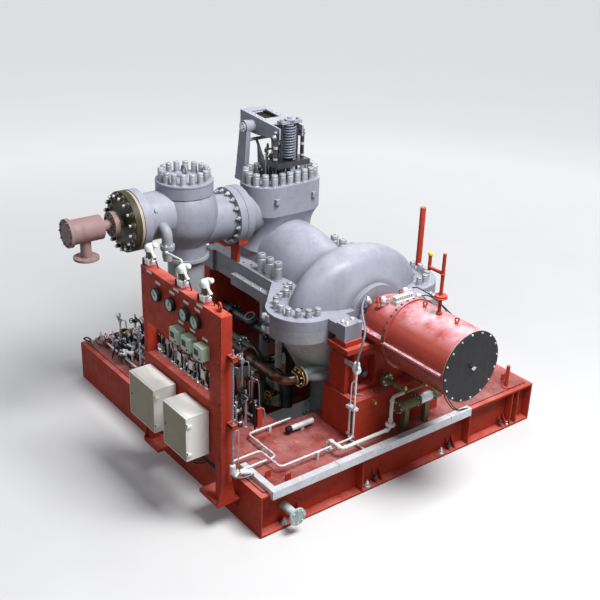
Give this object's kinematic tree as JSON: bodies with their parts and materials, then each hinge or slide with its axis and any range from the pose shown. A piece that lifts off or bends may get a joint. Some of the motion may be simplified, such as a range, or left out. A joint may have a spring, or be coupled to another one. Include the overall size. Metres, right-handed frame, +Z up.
{
  "type": "steam turbine on a skid",
  "caption": "Single-casing steam turbine on a red skid with steam chest, stop valve, lever gear, gauge panel and guarded coupling.",
  "frame": {"origin": "middle of the skid at floor level, on the underside of the middle cross beam", "axes": "+X along the shaft towards the coupling, +Y across the skid away from the gauge panel, +Z up"},
  "size_m": [4.644, 4.644, 3.42],
  "materials": {
    "box_green": "pale green paint",
    "casing_grey": "lavender-grey heat-resistant paint",
    "casing_lower_grey": "dull grey-green paint",
    "cover_black": "satin black paint",
    "cream_paint": "cream powder coat",
    "dark_steel": "dark spring steel",
    "instrument_white": "white instrument housing",
    "nut_steel": "machined steel with light oil",
    "olive_steel": "dark oiled steel",
    "pipe_heat": "heat-tinted stainless steel",
    "pipe_olive": "olive painted pipe",
    "pipe_white": "white painted pipe",
    "primer_pink": "pink-brown primer",
    "skid_red": "red oxide enamel, scuffed",
    "spacer_steel": "machined steel, slightly tarnished",
    "tray_zinc": "galvanised sheet"
  },
  "bodies": {
    "frame": {"base_cross_beam_1": "skid_red", "base_cross_beam_2": "skid_red", "base_cross_beam_3": "skid_red", "base_end_beam_drive": "skid_red", "base_end_beam_governor": "skid_red", "base_side_beam_far": "skid_red", "base_side_beam_near": "skid_red", "bearing_housing_lower": "skid_red", "bearing_housing_upper": "skid_red", "breather_pipe": "skid_red", "cable_tray": "tray_zinc", "casing_lower": "casing_lower_grey", "casing_nuts_far": "nut_steel", "casing_nuts_near": "nut_steel", "casing_upper": "casing_grey", "closing_spring": "dark_steel", "coupling_guard_lower": "skid_red", "coupling_guard_upper": "skid_red", "deck_conduits": "tray_zinc", "deck_plate": "skid_red", "drain_stub": "casing_lower_grey", "exhaust_pedestal": "skid_red", "far_vent_pipe": "skid_red", "gauge_board": "skid_red", "governor_bearing_housing": "skid_red", "governor_pedestal": "skid_red", "guard_end_cover": "cover_black", "inlet_blank_flange": "olive_steel", "inlet_spacer_ring": "spacer_steel", "junction_box_1": "cream_paint", "junction_box_2": "cream_paint", "leak_off_pipe": "pipe_heat", "lever_bracket": "casing_grey", "lever_pin": "nut_steel", "oil_drain_pipe": "pipe_white", "oil_return_pipe": "pipe_olive", "oil_strainer": "pipe_olive", "outlet_flange_nuts": "nut_steel", "panel_column_left": "skid_red", "panel_column_right": "skid_red", "panel_lower_board": "skid_red", "pressure_gauges": "instrument_white", "pressure_switches": "instrument_white", "signal_boxes": "box_green", "spring_bridge": "casing_grey", "steam_chest_cover": "casing_grey", "steam_chest_nuts": "nut_steel", "stop_valve_actuator": "casing_lower_grey", "stop_valve_body": "casing_grey", "stop_valve_cover": "casing_grey", "stop_valve_drain": "casing_lower_grey", "stop_valve_nuts": "nut_steel", "supply_spool": "primer_pink", "supply_strainer": "primer_pink", "valve_saddle": "skid_red"},
    "lever": {"governor_lever": "casing_grey"},
    "crosshead": {"valve_crosshead": "dark_steel"},
    "door_1": {"junction_box_1_door": "cream_paint"},
    "door_2": {"junction_box_2_door": "cream_paint"}
  },
  "joints": [
    {"name": "governor_lever_lift", "type": "hinge", "parent": "frame", "child": "lever", "pos_m": [-0.85, 0, 3.25], "axis": [0, -1, 0], "range_deg": [0, 6]},
    {"name": "valve_lift", "type": "slide", "parent": "frame", "child": "crosshead", "axis": [0, 0, 1], "range_m": [0, 0.0504], "deforming": ["closing_spring"]},
    {"name": "junction_box_1_door_swing", "type": "hinge", "parent": "frame", "child": "door_1", "pos_m": [0.8, -2.457, 1], "axis": [0, 0, 1], "range_deg": [0, 105]},
    {"name": "junction_box_2_door_swing", "type": "hinge", "parent": "frame", "child": "door_2", "pos_m": [1.41, -2.457, 1], "axis": [0, 0, 1], "range_deg": [0, 105]}
  ],
  "couplings": [
    {"joint": "valve_lift", "follows": "governor_lever_lift", "m_per_rad": 0.48}
  ]
}
